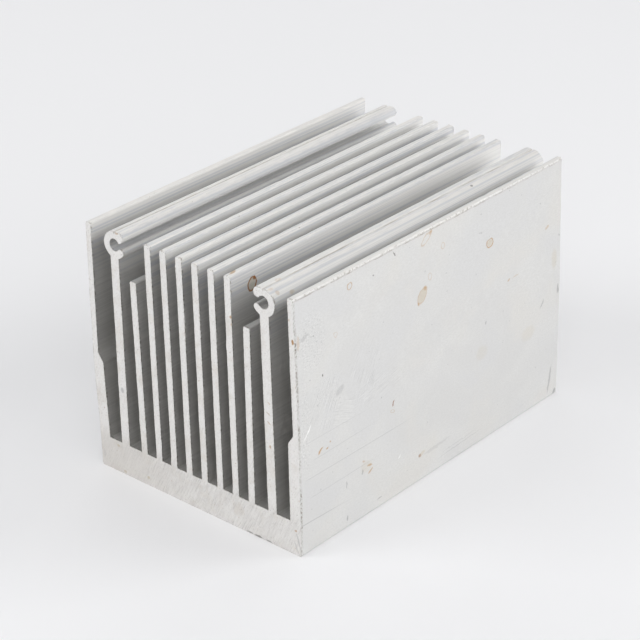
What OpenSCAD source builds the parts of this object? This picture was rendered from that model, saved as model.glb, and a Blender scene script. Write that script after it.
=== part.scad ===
// Extruded aluminium heat sink: one straight extrusion, cut to length.
// The cross-section is drawn once, in the X-Z plane, and extruded along Y.
// Origin: middle of the flat underside. +X across the fins, +Y along them, +Z up.

/* [Overall size] */
// Width across the two outer walls
sink_width = 60; // [54:1:120]
// Height from the underside to the tops of the outer walls
sink_height = 60.4; // [50:0.1:90]
// Length the extrusion is cut to
sink_length = 91; // [20:1:300]

/* [Base plate] */
// Thickness of the solid base under the channels
base_t = 8; // [4:0.1:12]
// Radius of the two lower long edges
base_edge_r = 0.6; // [0.2:0.1:2]

/* [Outer walls] */
// Thickness of the lower part of each outer wall
wall_t = 3; // [2:0.1:3.6]
// Thickness of the upper part of each outer wall
upper_wall_t = 1.5; // [1:0.1:2]
// Height at which the thick lower part ends
step_z = 26.7; // [14:0.1:36]
// Height of the sloped step between the two thicknesses
step_rise = 2.2; // [1:0.1:4]
// How far the tops of the outer walls lean inward
wall_toe_in = 0.65; // [0.1:0.05:1.2]

/* [Fins] */
// Thickness of the tall fins
fin_t = 1.75; // [1:0.05:2.2]
// Nominal distance from one fin to the next
fin_pitch = 4.6; // [4:0.1:6]
// How far the tall fins stop below the outer walls
fin_drop = 0.3; // [0:0.1:3]
// Thickness of the two short fins
short_fin_t = 1.8; // [1:0.05:2.2]
// How far the short fins stop below the outer walls
short_fin_drop = 10.4; // [8:0.1:20]
// How far the tops of the short fins lean outward
short_fin_lean = 0.35; // [0.05:0.05:0.6]
// Radius of the two edges along each fin top
tip_r = 0.35; // [0.1:0.05:0.45]

/* [Screw ports] */
// Thickness of the fins that carry the screw ports
port_fin_t = 2.4; // [1.8:0.1:2.8]
// Distance from the side of the heat sink to the foot of the port fin, at its middle
port_fin_from_side = 8; // [7.6:0.1:9.5]
// Distance from the foot of the port fin to the foot of the short fin, middle to middle
short_fin_from_port_fin = 5.95; // [4.5:0.05:7]
// How far the port fins lean inward on the way up to their port
port_fin_lean = 0.5; // [0.1:0.05:0.8]
// How far the port sits inboard of its fin
port_overhang = 0.2; // [0:0.05:0.5]
// Diameter of the screw port
port_bore_d = 2.9; // [2.4:0.1:3.4]
// Outside diameter of the tube round the port
port_tube_d = 6.3; // [5.6:0.1:6.6]
// Diameter of the round bead along the upper lip of the port
lip_bead_d = 2.4; // [1.8:0.1:2.6]
// Distance from the port's axis inboard to the middle of that bead
lip_bead_reach = 1.35; // [1.1:0.05:1.6]
// Direction of the end of the lower lip, round from the outboard side
lower_lip_angle = 220; // [205:1:235]
// Flat left on each side of the rounded end of the lower lip
lip_shoulder = 0.03; // [0.02:0.01:0.2]
// Width of the centring groove along the top of the port
groove_w = 0.7; // [0.3:0.1:1.2]
// Depth of the centring groove
groove_depth = 0.45; // [0.2:0.05:0.8]

/* [Hidden] */

// How deep each fin is rooted in the base, so that no face only touches
root = 1;
// Reach of the cutters past the faces that they cut
cut = 1;
// Sides of the round outlines
port_sides = 96;
edge_sides = 32;

half_w = sink_width / 2;
port_r = port_tube_d / 2;
port_z = sink_height - port_r;
lip_bead_z = sink_height - lip_bead_d / 2;
lip_end_d = (port_tube_d - port_bore_d) / 2 - 2 * lip_shoulder;
lip_mid_r = (port_tube_d + port_bore_d) / 4;
port_fin_x = half_w - port_fin_from_side;
port_x = port_fin_x - port_fin_lean - port_overhang;
short_fin_x = port_fin_x - short_fin_from_port_fin;
// The tall fins share the space between the short fins evenly
fin_gaps = round(2 * short_fin_x / fin_pitch);
fin_step = 2 * short_fin_x / fin_gaps;

// A bar of even thickness with two round-edged top corners; its foot is at the origin
module bar(thickness, height) {
    translate([-thickness / 2, 0])
        square([thickness, height - tip_r]);
    translate([-thickness / 2 + tip_r, 0])
        square([thickness - 2 * tip_r, height]);
    for (side = [-1, 1])
        translate([side * (thickness / 2 - tip_r), height - tip_r])
            circle(r = tip_r, $fn = edge_sides);
}

// A fin rooted in the base at x, up to top_z; lean moves its top that far towards -X
module fin(x, thickness, top_z, lean = 0) {
    foot_z = base_t - root;
    translate([x, foot_z])
        rotate(atan2(lean, top_z - foot_z))
            bar(thickness, top_z - foot_z);
}

module base_plate() {
    translate([-half_w, base_edge_r])
        square([sink_width, base_t - base_edge_r]);
    translate([-half_w + base_edge_r, 0])
        square([sink_width - 2 * base_edge_r, base_t]);
    for (side = [-1, 1])
        translate([side * (half_w - base_edge_r), base_edge_r])
            circle(r = base_edge_r, $fn = edge_sides);
}

// The right outer wall: thick below, then a sloped step, then a thin part that leans in
module outer_wall() {
    slope = step_rise / (wall_t - upper_wall_t);
    // The thick part; its slope runs on into the middle of the thin part
    polygon([
        [half_w - wall_t, base_t - root],
        [half_w, base_t - root],
        [half_w, step_z],
        [half_w - upper_wall_t / 2, step_z + slope * (wall_t - upper_wall_t / 2)],
        [half_w - wall_t, step_z]
    ]);
    // The thin part turns about the kink in the outer face
    translate([half_w, step_z])
        rotate(atan2(wall_toe_in, sink_height - step_z))
            translate([-upper_wall_t / 2, 0])
                bar(upper_wall_t, sink_height - step_z);
}

// The C-shaped port, open towards the middle of the heat sink; its axis is at the origin
module screw_port() {
    bead = [-lip_bead_reach, lip_bead_z - port_z];
    upper_lip = bead / norm(bead);
    lower_lip = [cos(lower_lip_angle), sin(lower_lip_angle)];
    difference() {
        union() {
            difference() {
                circle(r = port_r, $fn = port_sides);
                // The mouth, from the bead round to the end of the lower lip
                polygon([[0, 0], upper_lip * port_tube_d, [-port_tube_d, 0], lower_lip * port_tube_d]);
            }
            // The upper lip: a bead, level with the top of the tube
            translate(bead)
                circle(d = lip_bead_d, $fn = port_sides);
            translate(bead)
                square([lip_bead_reach, lip_bead_d / 2]);
            // The rounded end of the lower lip
            translate(lower_lip * lip_mid_r)
                circle(d = lip_end_d, $fn = port_sides);
        }
        circle(d = port_bore_d, $fn = port_sides);
        polygon([[-groove_w / 2, port_r], [0, port_r - groove_depth], [groove_w / 2, port_r],
                 [groove_w / 2, port_r + cut], [-groove_w / 2, port_r + cut]]);
    }
}

// The right port fin with its port
module port_fin() {
    difference() {
        fin(port_fin_x, port_fin_t, port_z, port_fin_lean);
        translate([port_x, port_z])
            circle(r = lip_mid_r, $fn = port_sides);
    }
    translate([port_x, port_z])
        screw_port();
}

// Everything that stands on the right half of the base, apart from the tall fins
module right_side() {
    outer_wall();
    port_fin();
    fin(short_fin_x, short_fin_t, sink_height - short_fin_drop, -short_fin_lean);
}

module cross_section() {
    base_plate();
    right_side();
    mirror([1, 0])
        right_side();
    for (i = [1 : fin_gaps - 1])
        fin(-short_fin_x + i * fin_step, fin_t, sink_height - fin_drop);
}

module heat_sink() {
    color("gainsboro")
        rotate([90, 0, 0])
            linear_extrude(height = sink_length, center = true)
                cross_section();
}

heat_sink();
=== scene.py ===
"""Extruded aluminium heat sink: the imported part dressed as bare, sawn, lightly stained metal."""
import math

import bpy
import numpy as np
from mathutils import Matrix, Vector, geometry, noise


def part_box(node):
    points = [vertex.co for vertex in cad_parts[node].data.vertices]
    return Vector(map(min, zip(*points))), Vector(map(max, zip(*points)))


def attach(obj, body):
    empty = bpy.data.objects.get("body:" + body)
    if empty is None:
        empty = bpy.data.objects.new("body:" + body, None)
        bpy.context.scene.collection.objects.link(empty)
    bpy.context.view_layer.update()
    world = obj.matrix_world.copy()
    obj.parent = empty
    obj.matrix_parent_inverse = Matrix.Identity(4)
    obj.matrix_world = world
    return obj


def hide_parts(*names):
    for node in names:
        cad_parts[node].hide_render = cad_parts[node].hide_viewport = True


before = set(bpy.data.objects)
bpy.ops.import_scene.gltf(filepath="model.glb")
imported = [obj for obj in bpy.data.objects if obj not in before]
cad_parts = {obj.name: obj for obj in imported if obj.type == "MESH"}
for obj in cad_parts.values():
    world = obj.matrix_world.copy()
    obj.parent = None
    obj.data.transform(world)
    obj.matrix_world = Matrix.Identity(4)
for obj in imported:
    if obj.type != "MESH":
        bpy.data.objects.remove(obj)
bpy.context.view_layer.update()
LOW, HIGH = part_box("heat_sink")
MM = 0.001
FRONT, TOP = LOW.y / MM, HIGH.z / MM
PORT_X = 21.3     # how far the screw ports lie from the middle, in mm
SEED = 7

# ---------------------------------------------------------------- view, in metres and degrees
CAMERA_PLACE = Vector((0.28728, -0.32719, 0.25423))
CAMERA_AZIMUTH = 41.675
CAMERA_ELEVATION = 27.450
CAMERA_ROLL = -1.226
SENSOR_MM = 36.0
LENS_MM = 122.207


def make_camera():
    angles = (CAMERA_AZIMUTH, CAMERA_ELEVATION, CAMERA_ROLL)
    azimuth, elevation, roll = (math.radians(a) for a in angles)
    forward = Vector((-math.sin(azimuth) * math.cos(elevation),
                      math.cos(azimuth) * math.cos(elevation), -math.sin(elevation)))
    level = forward.cross(Vector((0, 0, 1))).normalized()
    right = (Matrix.Rotation(-roll, 3, forward) @ level).normalized()
    up = right.cross(forward)
    data = bpy.data.cameras.new("view")
    data.sensor_width = SENSOR_MM
    data.lens = LENS_MM
    data.clip_start = 0.02
    data.clip_end = 20
    camera = bpy.data.objects.new("view", data)
    bpy.context.scene.collection.objects.link(camera)
    camera.matrix_world = Matrix((
        (right.x, up.x, -forward.x, CAMERA_PLACE.x),
        (right.y, up.y, -forward.y, CAMERA_PLACE.y),
        (right.z, up.z, -forward.z, CAMERA_PLACE.z),
        (0, 0, 0, 1)))
    bpy.context.scene.camera = camera


# ---------------------------------------------------------------- the richer mesh
ARRIS_INSET = 0.20 * MM       # flat sawn face stops this far inside the outline
LONGEST_SIDE = 2.0 * MM       # longest step round the outline
CORNER_STEP = 0.22 * MM       # first step on each side of a corner
MERGE = 0.04 * MM             # points closer than this become one
END_ROWS = [0.0, 0.05, 0.14, 0.38, 0.9, 2.0, 4.0]   # mm in from a sawn end
MIDDLE_STEP = 1.8 * MM        # longest step along the part between the end rows
FACE_DROP = 0.03 * MM         # flat sawn face lies this far inside the ends of the box
ARRIS_DROP = 0.05 * MM        # so does the arris, where no burr stands out
BURR_FADE = {0: 1.0, 1: 0.75, 2: 0.3}               # share of the burr left at each end row
SKIN, SAWN, PLATE = range(3)  # material of the extruded skin, the sawn ends and the outer faces
OUTER_BAND = 1.0 * MM         # the outer faces lie this close to the sides or the underside
WALL_BAND = 3.5 * MM          # a wall lies this close to its side
SPLAY = 0.5 * MM              # how far the left wall was bent outward above the base
SPLAY_FROM, SPLAY_TO = 6 * MM, 26 * MM
SHARP_ANGLE = 28.0            # degrees between faces from which an edge is shaded sharp


def end_outline(mesh, y):
    """The outline of the sawn end at y: one closed loop of (x, z)."""
    along = {}
    for polygon in mesh.polygons:
        corners = [mesh.vertices[i].co for i in polygon.vertices]
        if any(abs(c.y - y) > 1e-6 for c in corners):
            continue
        keys = [(round(c.x, 7), round(c.z, 7)) for c in corners]
        for a, b in zip(keys, keys[1:] + keys[:1]):
            along[(a, b)] = along.get((a, b), 0) + 1
    following = {a: b for (a, b) in along if (b, a) not in along}
    start = min(following)
    loop = [start]
    while following[loop[-1]] != start:
        loop.append(following[loop[-1]])
    return np.array(loop)


def outline_area(loop):
    """The signed area inside the outline: positive when it runs anticlockwise."""
    x, z = loop[:, 0], loop[:, 1]
    return 0.5 * float(np.sum(x * np.roll(z, -1) - np.roll(x, -1) * z))


def resample(loop):
    """Drops near-double points and adds points along the long sides."""
    kept = [loop[0]]
    for p in loop[1:]:
        if np.linalg.norm(p - kept[-1]) > MERGE:
            kept.append(p)
    fine = []
    for a, b in zip(kept, kept[1:] + kept[:1]):
        length = float(np.linalg.norm(b - a))
        fine.append(a)
        if length < 3 * CORNER_STEP:
            continue
        inner = length - 2 * CORNER_STEP
        steps = max(1, math.ceil(inner / LONGEST_SIDE))
        for k in range(steps + 1):
            fine.append(a + (b - a) * (CORNER_STEP + inner * k / steps) / length)
    return np.array(fine)


def outward_normals(loop):
    """The outward direction at each point, and how much further a mitred corner reaches."""
    ahead = np.roll(loop, -1, 0) - loop
    behind = loop - np.roll(loop, 1, 0)
    ahead /= np.linalg.norm(ahead, axis=1)[:, None]
    behind /= np.linalg.norm(behind, axis=1)[:, None]
    side = ahead + behind
    side /= np.maximum(np.linalg.norm(side, axis=1), 1e-9)[:, None]
    out = np.stack([side[:, 1], -side[:, 0]], 1)
    mitre = 1 / np.maximum(np.abs(np.sum(side * ahead, 1)), 0.6)
    return out, mitre


def wave(x, y, z, seed):
    """Smooth noise of about -1 to 1; each seed reads another part of it."""
    return noise.noise(Vector((x, y, z)) + Vector((seed * 17.3, seed * 5.1, seed * 29.7)))


def burr(x, z, seed):
    """How far the saw pushed the arris out (positive) or chipped it (negative) there, in mm."""
    rough = wave(x * 2.6, z * 2.6, 0.0, seed)
    broad = wave(x * 0.33, z * 0.22, 3.0, seed)
    spike = max(0.0, wave(x * 1.3, z * 1.3, 7.0, seed) - 0.38)
    return 0.045 * rough + 0.03 * broad + 0.75 * spike * max(0.0, 0.5 + broad)


def smooth(value, low, high):
    t = np.clip((value - low) / (high - low), 0, 1)
    return t * t * (3 - 2 * t)


def is_outer(middle, out):
    """True where a side of the outline belongs to an outer wall's outer face or to the underside."""
    beside = abs(middle[0]) > HIGH.x - OUTER_BAND and out[0] * middle[0] > 0 and abs(out[0]) > 0.7
    below = middle[1] < LOW.z + OUTER_BAND and out[1] < -0.7
    return beside or below


def top_wear(loop, y):
    """How far the long top edges are knocked in (negative) or burred at this y."""
    near_top = smooth(loop[:, 1], HIGH.z - 0.8 * MM, HIGH.z - 0.3 * MM)
    x = loop[:, 0] / MM
    rough = np.array([wave(a * 0.9, y / MM * 1.1, 2.0, SEED + 2) for a in x])
    nick = np.array([max(0.0, wave(a * 0.7, y / MM * 0.45, 9.0, SEED + 3) - 0.35) for a in x])
    return near_top * (0.02 * rough - 0.25 * nick) * MM


def row_places():
    """Where the rings of points lie along Y: close together near the sawn ends."""
    near = [r * MM for r in END_ROWS]
    span = (HIGH.y - LOW.y) - 2 * near[-1]
    steps = math.ceil(span / MIDDLE_STEP)
    rows = [LOW.y + d for d in near]
    rows += [LOW.y + near[-1] + span * k / steps for k in range(1, steps)]
    rows += [HIGH.y - d for d in reversed(near)]
    return rows


def end_burr(loop, seed):
    return np.array([burr(p[0] / MM, p[1] / MM, seed) for p in loop]) * MM


def ring(points, ys):
    return np.stack([points[:, 0], ys, points[:, 1]], 1)


def grow_rings(loop, inset, out):
    """Rings of points from the front sawn face to the back one, burred and worn."""
    count = len(loop)
    front, back = end_burr(loop, SEED), end_burr(loop, SEED + 1)
    rows = row_places()
    rings = [ring(inset, np.full(count, LOW.y + FACE_DROP))]
    for j, y in enumerate(rows):
        near_front = BURR_FADE.get(j, 0.0)
        near_back = BURR_FADE.get(len(rows) - 1 - j, 0.0)
        push = front * near_front + back * near_back + top_wear(loop, y)
        ys = np.full(count, y)
        if j == 0:
            ys = ys + ARRIS_DROP - np.clip(front, 0, ARRIS_DROP)
        if j == len(rows) - 1:
            ys = ys - ARRIS_DROP + np.clip(back, 0, ARRIS_DROP)
        rings.append(ring(loop + out * push[:, None], ys))
    rings.append(ring(inset, np.full(count, HIGH.y - FACE_DROP)))
    return rings


def side_faces(loop, out, levels):
    """Quads between the rings, each with its material."""
    count = len(loop)
    middles = (loop + np.roll(loop, -1, 0)) / 2
    kinds = [PLATE if is_outer(middle, o) else SKIN for middle, o in zip(middles, out)]
    faces, materials = [], []
    for level in range(levels - 1):
        at_end = level in (0, levels - 2)
        a, b = level * count, (level + 1) * count
        for i in range(count):
            k = (i + 1) % count
            faces.append((a + i, a + k, b + k, b + i))
            materials.append(SAWN if at_end else kinds[i])
    return faces, materials


def cap_faces(inset, back_base):
    """Triangles of the two flat sawn faces; the points of the back one start at back_base."""
    faces = []
    for tri in geometry.tessellate_polygon([[Vector((p[0], p[1], 0)) for p in inset]]):
        p = [inset[i] for i in tri]
        turn = np.cross(p[1] - p[0], p[2] - p[0])
        one = tri if turn > 0 else tri[::-1]
        faces.append(tuple(one))
        faces.append(tuple(back_base + i for i in reversed(one)))
    return faces


def build_body():
    """The dressed part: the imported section, extruded again with burrs, wear and a bent left wall."""
    loop = end_outline(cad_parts["heat_sink"].data, LOW.y)
    if outline_area(loop) < 0:
        loop = loop[::-1]
    loop = resample(loop)
    count = len(loop)
    out, mitre = outward_normals(loop)
    inset = loop - out * (ARRIS_INSET * mitre)[:, None]
    rings = grow_rings(loop, inset, out)
    vertices = np.concatenate(rings)
    bent = vertices[:, 0] < LOW.x + WALL_BAND
    vertices[bent, 0] -= SPLAY * smooth(vertices[bent, 2], SPLAY_FROM, SPLAY_TO)

    faces, materials = side_faces(loop, out, len(rings))
    caps = cap_faces(inset, (len(rings) - 1) * count)
    faces += caps
    materials += [SAWN] * len(caps)

    mesh = bpy.data.meshes.new("heat_sink_dressed")
    mesh.from_pydata(vertices.tolist(), [], faces)
    mesh.polygons.foreach_set("material_index", np.array(materials, np.int32))
    mesh.polygons.foreach_set("use_smooth", np.ones(len(faces), bool))
    # The attribute is 1 along the sawn outline and 0 on the flat sawn faces
    on_arris = np.ones(len(vertices), np.float32)
    on_arris[:count] = on_arris[-count:] = 0
    mesh.attributes.new("arris", "FLOAT", "POINT").data.foreach_set("value", on_arris)
    mesh.update()
    mesh.set_sharp_from_angle(angle=math.radians(SHARP_ANGLE))
    body = bpy.data.objects.new("heat_sink_dressed", mesh)
    bpy.context.scene.collection.objects.link(body)
    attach(body, "root")
    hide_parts("heat_sink")
    return body


# ---------------------------------------------------------------- node helpers
class Graph:
    """Builds a material's nodes from expressions; every length is in millimetres of the part."""

    def __init__(self, name):
        self.material = bpy.data.materials.new(name)
        self.material.use_nodes = True
        self.tree = self.material.node_tree
        self.tree.nodes.clear()
        place = self.add("ShaderNodeTexCoord").outputs["Object"]
        self.place = self.vector("MULTIPLY", place, (1 / MM,) * 3)
        split = self.add("ShaderNodeSeparateXYZ")
        self.feed(split.inputs[0], self.place)
        self.x, self.y, self.z = split.outputs

    def add(self, kind):
        return self.tree.nodes.new(kind)

    def feed(self, socket, value):
        if isinstance(value, bpy.types.NodeSocket):
            self.tree.links.new(value, socket)
        elif isinstance(value, tuple) and len(value) == 3 and socket.type == "RGBA":
            socket.default_value = (*value, 1)
        else:
            socket.default_value = value

    def math(self, operation, a, b=0.0, c=0.0):
        n = self.add("ShaderNodeMath")
        n.operation = operation
        for socket, value in zip(n.inputs, (a, b, c)):
            self.feed(socket, value)
        return n.outputs[0]

    def vector(self, operation, a, b=(0.0, 0.0, 0.0)):
        n = self.add("ShaderNodeVectorMath")
        n.operation = operation
        self.feed(n.inputs[0], a)
        if operation == "SCALE":
            self.feed(n.inputs["Scale"], b)
        else:
            self.feed(n.inputs[1], b)
        return n.outputs["Value" if operation == "LENGTH" else "Vector"]

    def away(self, value, centre):
        """How far the value is from the centre."""
        return self.math("ABSOLUTE", self.math("SUBTRACT", value, centre))

    def step(self, value, low, high, to_low=0.0, to_high=1.0, straight=False):
        """Goes from to_low to to_high while the value goes from low to high."""
        n = self.add("ShaderNodeMapRange")
        n.interpolation_type = "LINEAR" if straight else "SMOOTHSTEP"
        for socket, v in zip(n.inputs, (value, low, high, to_low, to_high)):
            self.feed(socket, v)
        return n.outputs[0]

    def noise(self, vector, scale, detail=2.0, rough=0.5, warp=0.0):
        n = self.add("ShaderNodeTexNoise")
        self.feed(n.inputs["Vector"], vector)
        n.inputs["Scale"].default_value = scale
        n.inputs["Detail"].default_value = detail
        n.inputs["Roughness"].default_value = rough
        n.inputs["Distortion"].default_value = warp
        return n.outputs[0]

    def stretch(self, sx, sy, sz, offset=(0.0, 0.0, 0.0)):
        """The place scaled along each axis, so that noise comes out as streaks."""
        return self.vector("ADD", self.vector("MULTIPLY", self.place, (sx, sy, sz)), offset)

    def mix(self, factor, a, b):
        n = self.add("ShaderNodeMix")
        n.data_type = "RGBA"
        self.feed(n.inputs["Factor"], factor)
        colours = [s for s in n.inputs if s.type == "RGBA"]
        self.feed(colours[0], a)
        self.feed(colours[1], b)
        return next(s for s in n.outputs if s.type == "RGBA")

    def bump(self, height, distance, strength):
        n = self.add("ShaderNodeBump")
        n.inputs["Strength"].default_value = strength
        n.inputs["Distance"].default_value = distance
        self.feed(n.inputs["Height"], height)
        return n.outputs[0]

    def local(self, vector, centre, size, turn=(0.0, 0.0, 0.0)):
        """The place in a frame at centre that is turned by degrees and measured in units of size."""
        n = self.add("ShaderNodeMapping")
        n.vector_type = "TEXTURE"
        self.feed(n.inputs["Vector"], vector)
        n.inputs["Location"].default_value = centre
        n.inputs["Rotation"].default_value = [math.radians(t) for t in turn]
        n.inputs["Scale"].default_value = size
        return n.outputs[0]

    def attribute(self, name):
        n = self.add("ShaderNodeAttribute")
        n.attribute_name = name
        return n.outputs["Fac"]

    def join(self, x, y, z):
        n = self.add("ShaderNodeCombineXYZ")
        for socket, value in zip(n.inputs, (x, y, z)):
            self.feed(socket, value)
        return n.outputs[0]

    def wobble(self, vector, scale, amount):
        """The vector pushed about by noise, so that drawn outlines come out uneven."""
        n = self.add("ShaderNodeTexNoise")
        self.feed(n.inputs["Vector"], self.place)
        n.inputs["Scale"].default_value = scale
        n.inputs["Detail"].default_value = 2.0
        push = self.vector("SCALE", self.vector("SUBTRACT", n.outputs["Color"], (0.5, 0.5, 0.5)), amount)
        return self.vector("ADD", vector, push)

    def blot(self, vector, centre, size, turn, kind, strength):
        """The strength of one round mark: filled, or only its rim."""
        reach = self.vector("LENGTH", self.local(vector, centre, size, turn))
        if kind == "spot":
            return self.step(reach, *SPOT_EDGE, 0.0, strength)
        return self.step(self.away(reach, 1.0), RIM, 0.0, 0.0, strength)

    def metal(self, colour, roughness, normal, grain=0.0):
        """Finishes the material; grain stretches its highlights across the lines along Y."""
        shader = self.add("ShaderNodeBsdfPrincipled")
        shader.inputs["Metallic"].default_value = 1.0
        if grain:
            tangent = self.add("ShaderNodeTangent")
            tangent.direction_type = "RADIAL"
            tangent.axis = "Y"
            self.tree.links.new(tangent.outputs[0], shader.inputs["Tangent"])
            shader.inputs["Anisotropic"].default_value = grain
        self.feed(shader.inputs["Base Color"], colour)
        self.feed(shader.inputs["Roughness"], roughness)
        self.feed(shader.inputs["Normal"], normal)
        output = self.add("ShaderNodeOutputMaterial")
        self.tree.links.new(shader.outputs[0], output.inputs[0])
        return self.material


RIM = 0.24                    # half the width of a rim, in half sizes of its mark
SPOT_EDGE = (1.25, 0.65)      # where a filled mark starts and where it is full, in half sizes
RUST = (0.55, 0.35, 0.16)
TAN = (0.62, 0.54, 0.40)
SOOT = (0.30, 0.30, 0.31)
BLACK = (0.10, 0.09, 0.08)
SHINE = (1.0, 1.0, 0.99)

# Marks on the right outer wall, in mm and degrees:
# kind, place along Y and Z, half sizes along and across, turn, shade, strength
WALL_MARKS = [
    ("rim", -28.3, 56.8, 0.75, 0.75, 0, RUST, 0.65),
    ("rim", -33.0, 47.6, 0.6, 0.6, 0, RUST, 0.28),
    ("rim", -3.3, 58.2, 1.9, 0.75, 35, RUST, 0.35),
    ("spot", -1.9, 59.2, 0.6, 0.4, 35, RUST, 0.40),
    ("rim", 2.3, 54.5, 0.6, 0.75, 0, RUST, 0.30),
    ("rim", -2.2, 49.0, 0.55, 0.8, 20, RUST, 0.32),
    ("spot", -4.9, 45.5, 1.15, 1.9, -38, TAN, 0.45),
    ("rim", -4.9, 45.5, 1.2, 2.0, -38, RUST, 0.38),
    ("spot", -3.9, 46.9, 0.6, 0.5, 0, RUST, 0.45),
    ("spot", -6.2, 44.0, 0.35, 0.45, 0, RUST, 0.50),
    ("rim", 18.8, 49.1, 1.15, 0.95, 0, RUST, 0.80),
    ("spot", 18.8, 49.1, 0.9, 0.75, 0, TAN, 0.45),
    ("spot", 25.8, 37.4, 0.55, 0.3, 25, RUST, 0.50),
    ("spot", 28.3, 37.4, 1.3, 0.16, 8, RUST, 0.22),
    ("spot", 40.3, 45.1, 0.75, 0.35, 25, RUST, 0.35),
    ("spot", -14.0, 58.7, 0.75, 0.12, -50, BLACK, 0.50),
    ("spot", -37.4, 40.1, 0.22, 0.32, 0, BLACK, 0.75),
    ("spot", -15.1, 23.8, 0.80, 0.22, 60, (0.36, 0.18, 0.11), 0.80),
    ("rim", -15.4, 22.0, 0.7, 0.35, -25, RUST, 0.45),
    ("spot", 17.4, 30.1, 0.22, 0.5, 0, SOOT, 0.55),
    ("spot", -20.8, 56.4, 0.2, 0.2, 0, BLACK, 0.45),
    ("spot", -39.7, 50.0, 0.2, 0.2, 0, BLACK, 0.45),
    ("spot", -44.4, 50.2, 0.4, 1.6, 0, RUST, 0.28),
    ("spot", -32.3, 34.5, 1.5, 0.8, 30, SOOT, 0.20),
    ("spot", -42.6, 50.8, 1.6, 0.5, 20, SOOT, 0.22),
    ("spot", -25.5, 11.5, 0.25, 0.7, -15, SOOT, 0.45),
    ("spot", -30.8, 10.8, 0.2, 0.9, 0, SOOT, 0.40),
    ("spot", 16.0, 23.1, 2.2, 1.8, 0, TAN, 0.12),
    ("spot", 33.5, 20.8, 2.6, 1.8, 0, TAN, 0.12),
    ("spot", 43.2, 36.1, 1.1, 2.4, 0, TAN, 0.20),
    ("spot", 44.9, 28.0, 0.4, 1.2, 0, SOOT, 0.45),
    ("spot", 38.7, 26.4, 0.3, 1.2, -35, SOOT, 0.35),
    ("spot", 42.5, 5.0, 0.34, 3.6, -10, SOOT, 0.36),
    ("spot", 44.6, 1.0, 0.5, 0.8, -30, SOOT, 0.50),
    ("spot", -38.8, 23.0, 0.95, 0.3, 35, RUST, 0.75),
    ("spot", -36.8, 22.7, 0.3, 0.25, 0, RUST, 0.75),
    ("spot", -35.7, 23.8, 0.25, 0.2, 0, RUST, 0.55),
    ("spot", -23.1, 12.2, 0.8, 0.25, -10, RUST, 0.60),
    ("spot", -22.9, 10.8, 0.9, 0.3, 30, RUST, 0.55),
    ("spot", -25.2, 14.0, 0.5, 0.25, -20, RUST, 0.40),
    ("spot", -24.3, 12.4, 1.8, 1.4, 0, TAN, 0.16),
    ("spot", -6.1, 6.5, 0.45, 0.35, 0, (0.30, 0.12, 0.06), 0.55),
    ("spot", -5.4, 6.7, 1.2, 0.45, 20, TAN, 0.30),
    ("spot", -20.0, 2.4, 0.8, 0.2, 10, SOOT, 0.35),
    ("spot", -30.7, 2.5, 0.25, 0.6, 0, SOOT, 0.50),
    ("spot", -13.1, 9.7, 0.55, 0.14, 50, SHINE, 0.50),
    ("spot", -42.8, 28.8, 1.9, 0.16, 49, SHINE, 0.55),
    ("spot", -42.4, 29.4, 1.5, 0.10, 56, SHINE, 0.45),
    ("spot", -0.2, 6.4, 4.6, 0.45, 3, SOOT, 0.14),
    ("spot", 8.4, 3.1, 7.4, 0.12, 2, SOOT, 0.20),
    ("spot", 8.0, 3.9, 6.4, 0.12, 2, SOOT, 0.16),
]
# Lines scribed lengthwise on the same wall: height at the front, from Y, to Y, slope, strength
WALL_LINES = [
    (7.55, -45.4, -34.0, -0.045, 0.38),
    (17.9, -43.4, -12.0, -0.012, 0.20),
    (13.1, -42.0, -23.0, 0.004, 0.16),
    (21.7, -41.0, -24.0, 0.012, 0.16),
    (26.6, -44.0, -27.0, -0.02, 0.14),
]
# Bands of fine scratches there: place along Y and Z, half sizes, slant, strength
WALL_SCRATCHES = [
    ((-24.0, 36.0), (5.0, 9.0), 60, 0.18),
    ((-37.0, 33.0), (5.0, 6.0), 62, 0.24),
    ((-31.0, 29.0), (4.0, 3.0), -20, 0.18),
    ((-20.0, 30.0), (9.0, 3.0), 12, 0.16),
]
# Patches of fine dark speckle there: place along Y and Z, half sizes, strength
WALL_SPECKLE = [
    ((-40.5, 49.0), (4.5, 7.0), 0.38),
    ((-36.0, 36.0), (5.0, 4.0), 0.24),
    ((-43.5, 30.0), (2.0, 12.0), 0.35),
]
# Dirt on the fins and the ports: kind, place, half sizes, turns, shade, strength
INNER_MARKS = [
    ("spot", (12.33, -38.95, 56.2), (0.6, 1.2, 1.45), (-20, 0, 0), (0.66, 0.62, 0.53), 0.70),
    ("rim", (12.33, -38.95, 56.2), (0.6, 1.2, 1.5), (-20, 0, 0), (0.42, 0.20, 0.05), 0.95),
    ("spot", (12.33, -38.3, 57.3), (0.6, 0.45, 0.45), (0, 0, 0), (0.40, 0.16, 0.03), 0.80),
    ("spot", (11.2, -43.4, 60.1), (0.4, 1.1, 0.3), (0, 0, 12), RUST, 0.60),
    ("spot", (24.4, -40.0, 58.5), (0.5, 0.8, 0.5), (0, 0, 0), TAN, 0.45),
    ("spot", (23.5, -43.5, 59.4), (0.6, 0.5, 0.5), (0, 0, 0), RUST, 0.22),
    ("spot", (20.9, -40.5, 60.3), (0.4, 0.9, 0.4), (0, 0, 0), RUST, 0.16),
    ("spot", (22.4, -44.3, 60.0), (0.4, 0.7, 0.5), (0, 0, 0), RUST, 0.18),
    ("spot", (22.6, 21.0, 60.0), (0.28, 0.42, 0.5), (0, 0, 0), BLACK, 0.55),
]
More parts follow.
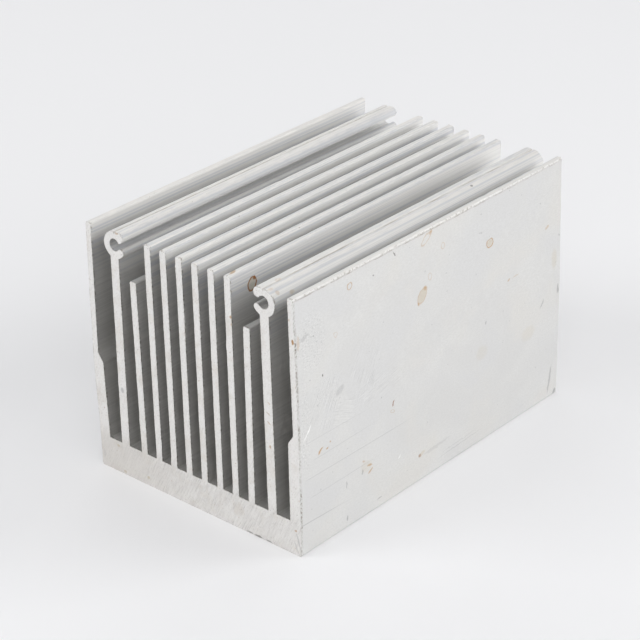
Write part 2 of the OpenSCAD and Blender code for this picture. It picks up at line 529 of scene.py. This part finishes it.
# Marks on the front sawn face:
# kind, place along X and Z, half sizes along and across, turn, shade, strength
END_MARKS = [
    ("spot", 12.1, 51.0, 0.28, 0.35, 0, RUST, 0.70),
    ("spot", 12.25, 49.3, 0.2, 0.25, 0, RUST, 0.55),
    ("spot", 29.05, 50.8, 0.32, 0.6, 0, (0.50, 0.27, 0.08), 0.85),
    ("spot", 28.2, 55.5, 0.2, 0.3, 0, RUST, 0.40),
    ("spot", -21.9, 21.8, 0.5, 0.7, 0, SOOT, 0.35),
    ("spot", -24.4, 6.8, 0.5, 0.3, 0, TAN, 0.50),
    ("spot", -22.7, 0.7, 0.5, 0.3, 0, TAN, 0.50),
    ("spot", -15.3, 2.0, 0.4, 0.4, 0, TAN, 0.50),
    ("spot", 28.5, 6.0, 0.3, 0.3, 0, RUST, 0.60),
    ("spot", 29.3, 3.2, 0.24, 2.4, -16, SOOT, 0.28),
    ("spot", 28.6, 1.8, 0.22, 1.7, -22, SOOT, 0.22),
    ("spot", -29.2, 3.0, 0.5, 1.0, 0, SOOT, 0.15),
    ("spot", -20.4, 60.2, 0.5, 0.3, 0, RUST, 0.45),
    ("spot", 22.0, 24.0, 0.28, 0.40, 0, RUST, 0.55),
    ("spot", 21.8, 29.6, 0.55, 0.16, 35, RUST, 0.40),
    ("spot", 21.7, 31.8, 0.60, 0.18, 35, TAN, 0.45),
    ("spot", 22.0, 34.3, 0.40, 0.18, 35, RUST, 0.30),
    ("spot", 15.2, 0.25, 0.9, 0.20, 0, BLACK, 0.45),
    ("spot", 17.7, 0.25, 1.1, 0.24, 0, BLACK, 0.55),
    ("spot", 20.7, 0.25, 0.9, 0.20, 0, BLACK, 0.45),
]


SAW_LEAN = 27.0               # slant of the saw marks, in degrees
SKIN_GRAIN = 0.65             # how far the finish is drawn out along the part, of 1
PLATE_GRAIN = 0.5
FAR = 1000.0                  # moves a plane of marks off every face but its own
FLAT = (0.0, 0.0, 0.0)


def skin_material():
    """Extruded faces between the walls: die lines, dirt in the port grooves, a painted sky reflection
    high up, tops lighter from wear and a painted highlight.
    """
    g = Graph("mill_aluminium_skin")
    lines = g.noise(g.stretch(4.0, 0.012, 4.0), 1.0, 3.0, 0.6)
    broad = g.noise(g.stretch(1.4, 0.006, 1.4, (5.0, 0.0, 9.0)), 1.0, 2.0, 0.5)
    cloud = g.noise(g.stretch(0.06, 0.05, 0.06), 1.0, 4.0, 0.55)
    wear = g.noise(g.stretch(2.2, 0.25, 2.2, (1.0, 4.0, 0.0)), 1.0, 3.0, 0.6)
    pits = g.noise(g.stretch(2.6, 1.3, 2.6), 1.0, 3.0, 0.6)
    colour = g.mix(g.step(lines, 0.3, 0.7), (0.755, 0.749, 0.733), (0.875, 0.869, 0.853))
    colour = g.mix(g.step(cloud, 0.35, 0.65, 0.0, 0.35), colour, (0.825, 0.815, 0.795))
    # Upper faces turn a darker blue-grey along the broad streaks, more so higher up: a painted sky
    # reflection; the streaks themselves are die lines
    high = g.step(g.z, 44.0, 58.0, 0.0, 0.75)
    colour = g.mix(g.math("MULTIPLY", g.step(broad, 0.46, 0.60), high), colour, (0.70, 0.71, 0.735))
    groove = g.step(g.away(g.math("ABSOLUTE", g.x), PORT_X), 0.30, 0.12)
    in_groove = g.math("MULTIPLY", groove, g.step(g.z, TOP - 0.8, TOP - 0.6))
    patchy = g.step(g.noise(g.stretch(0.5, 0.12, 0.5), 1.0, 2.0), 0.42, 0.66, 0.06, 0.55)
    colour = g.mix(g.math("MULTIPLY", in_groove, patchy), colour, (0.36, 0.28, 0.20))
    # Tops lighter and warmer: partly wear, partly a painted highlight along the top edges
    top = g.step(g.z, TOP - 0.65, TOP - 0.4)
    wear_and_highlight = g.math("MULTIPLY", top, g.step(wear, 0.35, 0.65, 0.15, 0.6))
    colour = g.mix(wear_and_highlight, colour, (0.91, 0.89, 0.86))
    pitted = g.math("MULTIPLY", top, g.step(pits, 0.67, 0.73, 0.0, 0.6))
    front_half = g.step(g.y, 10.0, -25.0, 0.15, 1.0)
    colour = g.mix(g.math("MULTIPLY", pitted, front_half), colour, (0.30, 0.22, 0.15))
    # Dark broken specks just behind the front end: partly burr dirt, partly painted shadow of the burr
    crumbs = g.noise(g.stretch(1.6, 2.0, 1.6), 1.0, 3.0, 0.7)
    at_front = g.step(g.y, FRONT + 0.6, FRONT + 0.2)
    edge = g.math("MULTIPLY", at_front, g.step(crumbs, 0.50, 0.62, 0.0, 0.6))
    colour = g.mix(edge, colour, (0.28, 0.23, 0.18))
    near = g.wobble(g.place, 1.1, 0.45)
    for kind, centre, size, turn, shade, strength in INNER_MARKS:
        colour = g.mix(g.blot(near, centre, size, turn, kind, strength), colour, shade)
    roughness = g.step(g.math("ADD", lines, broad), 0.7, 1.3, 0.64, 0.80, straight=True)
    height = g.math("ADD", g.math("MULTIPLY", lines, 0.6), broad)
    return g.metal(colour, roughness, g.bump(height, 0.02 * MM, 0.6), SKIN_GRAIN)


def plate_material():
    """Outer faces: satin metal with clouds, scratches, dark arris lines that are partly painted shadow,
    a painted highlight along the top and, on the right wall, the marks.
    """
    g = Graph("mill_aluminium_plate")
    grain = g.noise(g.stretch(3.2, 1.5, 3.2), 1.0, 4.0, 0.65)
    lines = g.noise(g.stretch(2.5, 0.02, 3.0), 1.0, 3.0, 0.6)
    cloud = g.noise(g.stretch(0.05, 0.07, 0.09), 1.0, 5.0, 0.6, 0.8)
    hue = g.noise(g.stretch(0.08, 0.05, 0.06, (3.0, 8.0, 1.0)), 1.0, 3.0, 0.5, 0.5)
    colour = g.mix(g.step(cloud, 0.3, 0.7), (0.71, 0.708, 0.70), (0.76, 0.758, 0.748))
    colour = g.mix(g.step(hue, 0.5, 0.68, 0.0, 0.6), colour, (0.755, 0.742, 0.715))
    colour = g.mix(g.step(hue, 0.5, 0.36, 0.0, 0.5), colour, (0.716, 0.717, 0.72))
    colour = g.mix(g.step(grain, 0.35, 0.65, 0.0, 0.30), colour, (0.68, 0.675, 0.66))
    low_part = g.step(g.z, 34.0, 16.0, 0.12, 0.40)
    dots = g.noise(g.stretch(0.9, 0.7, 0.9, (2.0, 5.0, 3.0)), 1.0, 2.0, 0.5)
    colour = g.mix(g.step(dots, 0.72, 0.78, 0.0, 0.35), colour, SOOT)
    colour = g.mix(g.math("MULTIPLY", g.step(lines, 0.5, 0.72), low_part), colour, (0.70, 0.70, 0.69))
    # The marks lie on the right wall only, so everywhere else their plane is far away
    mark_z = g.math("ADD", g.z, g.step(g.x, 20.0, 25.0, FAR, 0.0, straight=True))
    plane = g.join(0.0, g.y, mark_z)
    uneven = g.wobble(plane, 0.9, 0.8)
    uneven = g.vector("MULTIPLY", uneven, (0.0, 1.0, 1.0))
    for kind, along, up, half_along, half_up, turn, shade, strength in WALL_MARKS:
        mark = g.blot(uneven, (0, along, up), (1, half_along, half_up), (turn, 0, 0), kind, strength)
        colour = g.mix(mark, colour, shade)
    for start_height, start, end, slope, strength in WALL_LINES:
        line_height = g.math("MULTIPLY_ADD", g.y, slope, start_height + slope * 45.0)
        line = g.step(g.away(mark_z, line_height), 0.14, 0.05, 0.0, strength)
        begun = g.step(g.y, start - 0.5, start + 0.5)
        span = g.math("MULTIPLY", begun, g.step(g.y, end + 6.0, end - 6.0))
        colour = g.mix(g.math("MULTIPLY", line, span), colour, SOOT)
    for centre, size, turn, strength in WALL_SCRATCHES:
        band = g.blot(plane, (0, *centre), (1, *size), FLAT, "spot", strength)
        hairs = g.noise(g.local(plane, FLAT, (1, 5.0, 0.16), (turn, 0, 0)), 1.0, 2.0, 0.5)
        colour = g.mix(g.math("MULTIPLY", band, g.step(hairs, 0.56, 0.66)), colour, SOOT)
        colour = g.mix(g.math("MULTIPLY", band, g.step(hairs, 0.42, 0.34)), colour, SHINE)
    flecks = g.noise(g.local(plane, FLAT, (1, 0.5, 0.22), (25, 0, 0)), 1.0, 3.0, 0.6)
    for centre, size, strength in WALL_SPECKLE:
        patch = g.blot(plane, (0, *centre), (1, *size), FLAT, "spot", strength)
        colour = g.mix(g.math("MULTIPLY", patch, g.step(flecks, 0.57, 0.66)), colour, SOOT)
        colour = g.mix(g.math("MULTIPLY", patch, g.step(flecks, 0.42, 0.35)), colour, SHINE)
    # Dark broken lines along the front arris and just under the top arris, broken up by noise: partly
    # burr dirt, partly painted shadow of the burr and of the rolled top edge
    crumbs = g.noise(g.stretch(2.0, 2.0, 2.0), 1.0, 3.0, 0.7)
    runs = g.step(g.noise(g.stretch(0.1, 0.1, 0.16), 1.0, 2.0), 0.40, 0.60, 0.25, 1.0)
    at_front = g.step(g.y, FRONT + 0.75, FRONT + 0.35)
    arris = g.math("MULTIPLY", at_front, g.step(crumbs, 0.46, 0.58, 0.08, 0.85))
    arris = g.math("MULTIPLY", arris, runs)
    colour = g.mix(arris, colour, (0.24, 0.20, 0.16))
    # Line under the top arris: partly dirt, partly painted shade below the rolled top edge
    dashes = g.noise(g.stretch(1.0, 0.45, 2.5), 1.0, 4.0, 0.75)
    under_top = g.step(g.away(g.z, TOP - 0.65), 0.22, 0.08)
    rim_dirt_and_shade = g.math("MULTIPLY", under_top, g.step(dashes, 0.44, 0.64, 0.08, 0.55))
    rim_dirt_and_shade = g.math("MULTIPLY", rim_dirt_and_shade, g.step(g.y, 46.0, 10.0, 0.35, 1.0))
    colour = g.mix(rim_dirt_and_shade, colour, (0.24, 0.18, 0.13))
    # Top strip of the wall lighter: a painted highlight on the rolled top edge
    colour = g.mix(g.step(g.z, TOP - 0.45, TOP - 0.25, 0.0, 0.6), colour, (0.88, 0.865, 0.84))
    near_top = g.step(g.z, TOP - 0.7, TOP - 0.4)
    gritty = g.math("MULTIPLY", near_top, g.step(crumbs, 0.52, 0.62, 0.0, 0.45))
    colour = g.mix(gritty, colour, (0.30, 0.26, 0.21))
    roughness = g.step(g.math("ADD", grain, cloud), 0.7, 1.3, 0.62, 0.76, straight=True)
    return g.metal(colour, roughness, g.bump(grain, 0.02 * MM, 0.35), PLATE_GRAIN)


def sawn_material():
    """Sawn ends: slanted saw marks, strongest on the base, with specks, stains and painted shade on the
    left of the base.
    """
    g = Graph("mill_aluminium_sawn")
    lean = (0, SAW_LEAN, 0)
    kerf = g.noise(g.local(g.place, FLAT, (0.42, 1.0, 3.2), lean), 1.0, 4.0, 0.65)
    fine = g.noise(g.local(g.place, FLAT, (0.16, 1.0, 2.4), lean), 1.0, 3.0, 0.6)
    speck = g.noise(g.place, 3.0, 2.0, 0.6)
    stain = g.noise(g.stretch(0.25, 0.25, 0.25), 1.0, 3.0, 0.6)
    on_base = g.step(g.z, 11.0, 7.0, 0.15, 0.45)
    deep = g.math("MULTIPLY", g.step(kerf, 0.72, 0.28), g.math("MULTIPLY", on_base, 2.0))
    colour = g.mix(deep, (0.94, 0.93, 0.91), (0.81, 0.795, 0.775))
    colour = g.mix(g.math("MULTIPLY", g.step(fine, 0.53, 0.70), on_base), colour, (0.57, 0.555, 0.535))
    colour = g.mix(g.step(stain, 0.5, 0.7, 0.0, 0.25), colour, (0.72, 0.66, 0.58))
    colour = g.mix(g.step(speck, 0.66, 0.75, 0.0, 0.6), colour, (0.36, 0.32, 0.28))
    mottle = g.noise(g.stretch(3.0, 3.0, 3.0, (7.0, 0.0, 2.0)), 1.0, 4.0, 0.7)
    colour = g.mix(g.step(mottle, 0.52, 0.68, 0.0, 0.35), colour, (0.66, 0.63, 0.59))
    brown = g.noise(g.stretch(1.3, 1.3, 0.9, (0.0, 0.0, 11.0)), 1.0, 2.0, 0.5)
    colour = g.mix(g.step(brown, 0.71, 0.76, 0.0, 0.6), colour, (0.50, 0.34, 0.22))
    crumbs = g.noise(g.stretch(2.2, 2.2, 1.6), 1.0, 3.0, 0.75)
    at_arris = g.step(g.attribute("arris"), 0.1, 0.7)
    rim = g.math("MULTIPLY", at_arris, g.step(crumbs, 0.46, 0.60, 0.0, 0.65))
    colour = g.mix(rim, colour, (0.34, 0.30, 0.26))
    # Left part of the front of the base darker: painted shade, as if the light came from the right
    left_base_painted_shade = g.math("MULTIPLY", g.step(g.x, 5.0, -28.0, 0.0, 0.5), g.step(g.z, 12.0, 7.0))
    colour = g.mix(left_base_painted_shade, colour, (0.76, 0.73, 0.69))
    # The marks lie on the front end only, so at the back their plane is far away
    mark_z = g.math("ADD", g.z, g.step(g.y, 0.0, 1.0, 0.0, FAR, straight=True))
    uneven = g.wobble(g.join(g.x, 0.0, mark_z), 1.5, 0.4)
    uneven = g.vector("MULTIPLY", uneven, (1.0, 0.0, 1.0))
    for kind, along, up, half_along, half_up, turn, shade, strength in END_MARKS:
        mark = g.blot(uneven, (along, 0, up), (half_along, 1, half_up), (0, turn, 0), kind, strength)
        colour = g.mix(mark, colour, shade)
    roughness = g.step(kerf, 0.3, 0.7, 0.55, 0.68, straight=True)
    height = g.math("ADD", kerf, g.math("MULTIPLY", fine, 0.5))
    height = g.math("MULTIPLY", height, g.step(g.z, 14.0, 6.0, 0.35, 1.0))
    return g.metal(colour, roughness, g.bump(height, 0.03 * MM, 0.6))


# ---------------------------------------------------------------- floor and light
FLOOR_SIDE = 6.0
FLOOR_COLOUR = (0.89, 0.89, 0.90)
WORLD_COLOUR = (0.98, 0.985, 1.0)
WORLD_STRENGTH = 0.33
LIGHT_SIZE = 1.0
LIGHT_TARGET = (0, 0, 0.03)
# Soft round lights about the part: name, place in metres, watts
LIGHTS = [
    ("over", (0.0, 0.0, 1.2), 2.2),
    ("right", (1.2, 0.0, 0.6), 3.3),
    ("front_right", (0.9, -0.9, 0.8), 5.2),
    ("front_left", (-0.7, -1.0, 0.8), 5.7),
    ("left", (-1.2, 0.2, 0.6), 1.6),
    ("back_right", (1.0, 0.9, 0.6), 7.6),
    ("back_left", (-0.9, 0.9, 0.8), 2.5),
]


def make_floor():
    mesh = bpy.data.meshes.new("floor")
    s = FLOOR_SIDE / 2
    z = LOW.z
    mesh.from_pydata([(-s, -s, z), (s, -s, z), (s, s, z), (-s, s, z)], [], [(0, 1, 2, 3)])
    floor = bpy.data.objects.new("floor", mesh)
    bpy.context.scene.collection.objects.link(floor)
    material = bpy.data.materials.new("pale_floor")
    material.use_nodes = True
    shader = material.node_tree.nodes["Principled BSDF"]
    shader.inputs["Base Color"].default_value = (*FLOOR_COLOUR, 1)
    shader.inputs["Roughness"].default_value = 0.8
    shader.inputs["Specular IOR Level"].default_value = 0.1
    mesh.materials.append(material)


def make_light(name, place, power):
    data = bpy.data.lights.new(name, "AREA")
    data.shape = "DISK"
    data.size = LIGHT_SIZE
    data.energy = power
    light = bpy.data.objects.new(name, data)
    bpy.context.scene.collection.objects.link(light)
    light.location = place
    light.rotation_mode = "QUATERNION"
    aim = Vector(LIGHT_TARGET) - Vector(place)
    light.rotation_quaternion = aim.to_track_quat("-Z", "Y")


def make_world():
    world = bpy.data.worlds.new("studio")
    world.use_nodes = True
    background = world.node_tree.nodes["Background"]
    background.inputs["Color"].default_value = (*WORLD_COLOUR, 1)
    background.inputs["Strength"].default_value = WORLD_STRENGTH
    bpy.context.scene.world = world


bpy.context.scene.view_settings.view_transform = "Standard"
make_camera()
make_world()
make_floor()
for name, place, power in LIGHTS:
    make_light(name, place, power)
heat_sink = build_body()
for made in (skin_material(), sawn_material(), plate_material()):
    heat_sink.data.materials.append(made)
